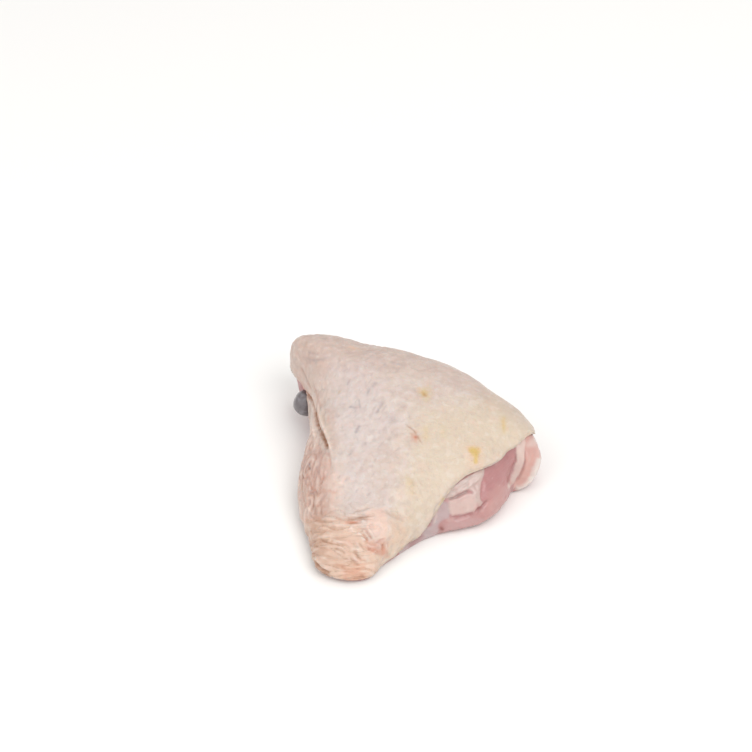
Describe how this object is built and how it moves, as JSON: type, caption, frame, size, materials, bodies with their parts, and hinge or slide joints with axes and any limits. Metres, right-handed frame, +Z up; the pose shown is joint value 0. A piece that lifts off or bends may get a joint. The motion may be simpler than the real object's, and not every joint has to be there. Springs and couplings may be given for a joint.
{
  "type": "raw chicken thigh",
  "caption": "Raw bone-in chicken thigh with its skin draped over the top, muscle bare along the front right and the thigh bone's round end showing at the left.",
  "frame": {"origin": "middle of the box round the part in plan, at the height of the surface that it lies on", "axes": "+Z up out of the skin side, +Y from the knee end towards the hip end, +X towards the side where the muscle shows"},
  "size_m": [0.1032, 0.1208, 0.0405],
  "materials": {
    "skin": "raw poultry skin, pale cream pink, moist",
    "flesh": "raw poultry muscle, pink, wet",
    "gristle": "raw gristle over bone, pearly blue grey, wet"
  },
  "bodies": {
    "root": {"skin": "skin", "flesh": "flesh", "bone_end": "gristle"}
  },
  "joints": []
}
